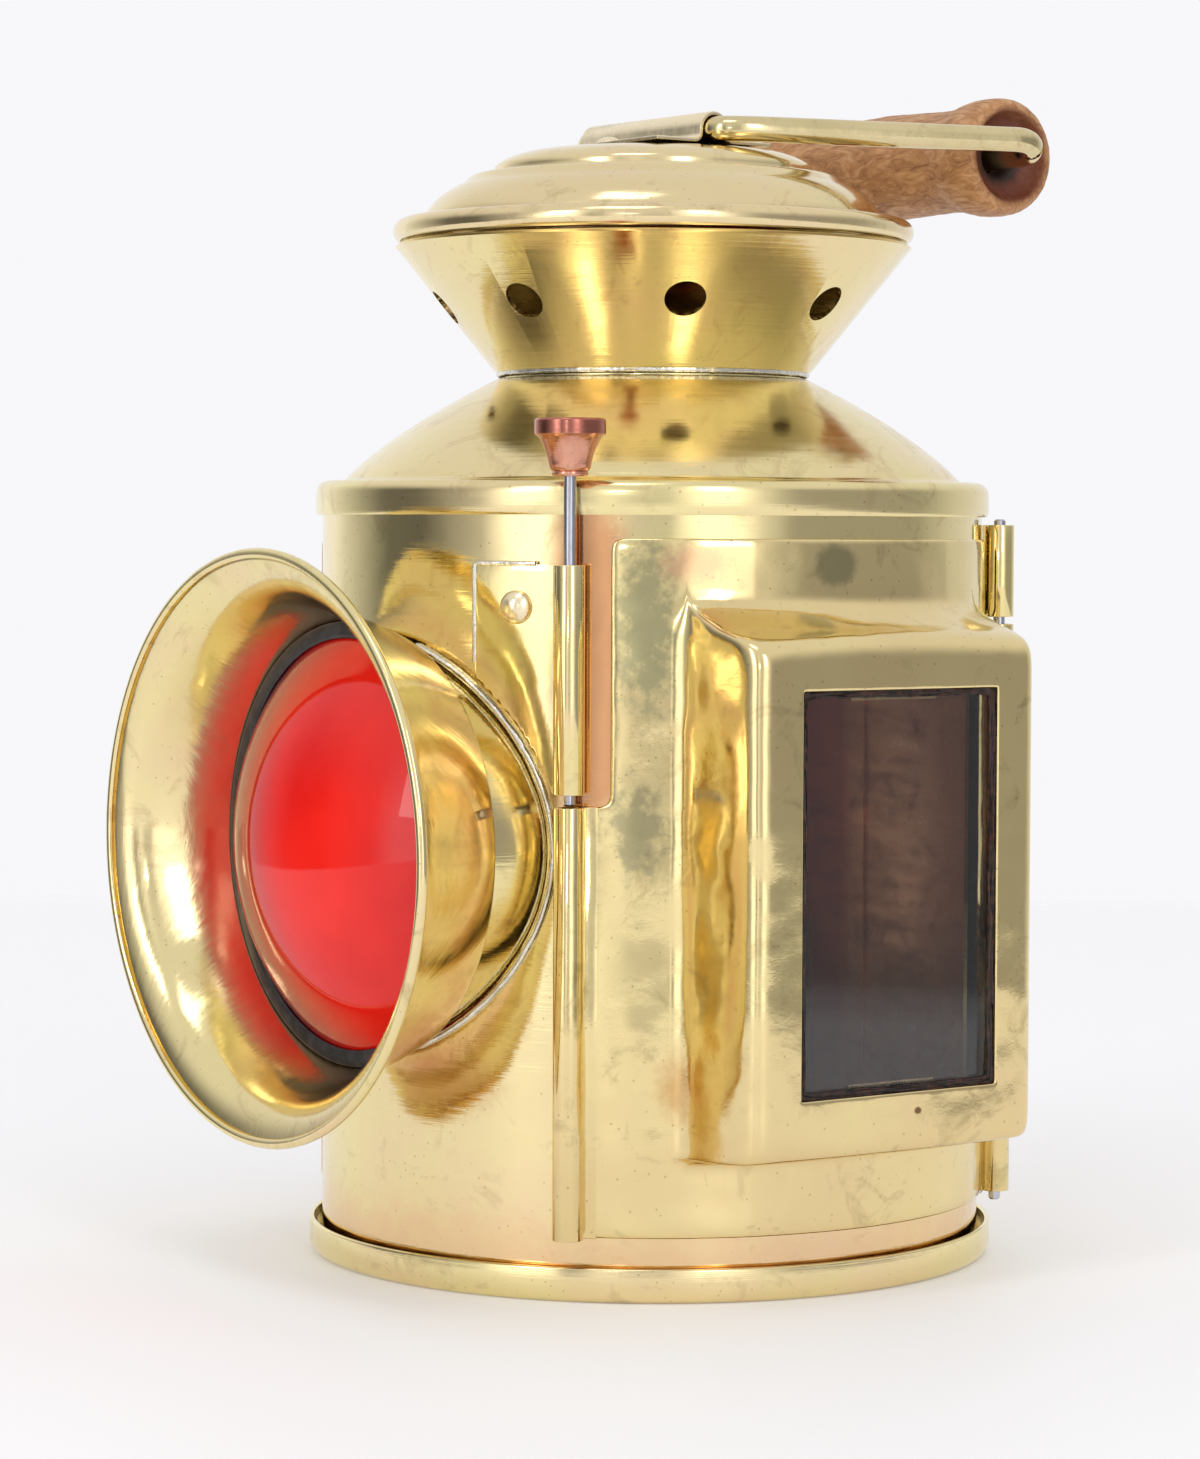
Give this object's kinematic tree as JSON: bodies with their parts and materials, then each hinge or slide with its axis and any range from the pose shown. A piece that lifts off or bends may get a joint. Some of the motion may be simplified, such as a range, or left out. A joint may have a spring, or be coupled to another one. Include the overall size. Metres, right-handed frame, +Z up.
{
  "type": "candle lantern",
  "caption": "Brass railway-style hand lantern for a candle: domed red lens in a flared hood, glazed side door with lift-up latch pin, vented chimney and folding bail handle.",
  "frame": {"origin": "centre of the base pan's flat underside", "axes": "+Z up through the chimney, -Y out through the red lens, +X out through the door's window"},
  "size_m": [0.1658, 0.1796, 0.2462],
  "materials": {
    "brass": "polished by hand, with fine brushing and copper-pink tarnish",
    "brass_wire": "polished drawn wire",
    "copper": "turned, reddish and darkened",
    "steel": "bluish bare wire",
    "solder": "dull, lumpy soft solder",
    "red_glass": "glossy moulded red glass",
    "clear_glass": "clear sheet and blown glass",
    "rubber": "black, slightly shiny packing ring",
    "wood": "worn reddish-brown stain, bare along the middle",
    "wax": "soft ivory wax",
    "cotton": "charred cotton wick"
  },
  "bodies": {
    "lantern": {"base_pan": "brass", "body_shell": "brass", "shoulder_dome": "brass", "neck_solder": "solder", "vent_cone": "brass", "top_cap": "brass", "lens_collar": "brass", "collar_solder_door_side": "solder", "collar_solder_far_side": "solder", "lens_hood": "brass", "red_lens": "red_glass", "lens_gasket": "rubber", "fixed_panel": "brass", "fixed_glass": "clear_glass", "fixed_clip_bottom": "brass", "fixed_clip_top": "brass", "latch_tab": "brass", "latch_tab_rivet": "brass", "hinge_tab": "brass", "hinge_tab_rivet": "brass", "hinge_pin": "steel", "handle_strap": "brass", "strap_rivet_front": "brass", "strap_rivet_back": "brass", "candle_tray": "brass"},
    "door": {"door_panel": "brass", "door_glass": "clear_glass", "door_clip_bottom": "brass", "door_clip_top": "brass"},
    "latch_pin": {"latch_rod": "steel", "latch_knob": "copper"},
    "bail": {"bail_wire": "brass_wire"},
    "grip": {"wooden_grip": "wood"},
    "candle": {"candle_jar": "clear_glass", "candle": "wax", "wick": "cotton"}
  },
  "joints": [
    {"name": "door_hinge", "type": "hinge", "parent": "lantern", "child": "door", "pos_m": [0.04793, 0.05612, 0.07], "axis": [0, 0, 1], "range_deg": [0, 120]},
    {"name": "pin_lift", "type": "slide", "parent": "lantern", "child": "latch_pin", "axis": [0, 0, 1], "range_m": [0, 0.04]},
    {"name": "bail_swing", "type": "hinge", "parent": "lantern", "child": "bail", "pos_m": [0, 0, 0.2364], "axis": [1, 0, 0], "range_deg": [0, 184]},
    {"name": "grip_spin", "type": "hinge", "parent": "bail", "child": "grip", "pos_m": [0, 0.0676, 0.2335], "axis": [1, 0, 0], "continuous": true},
    {"name": "candle_lift", "type": "slide", "parent": "lantern", "child": "candle", "axis": [0, 0, 1], "range_m": [0, 0.03]}
  ]
}
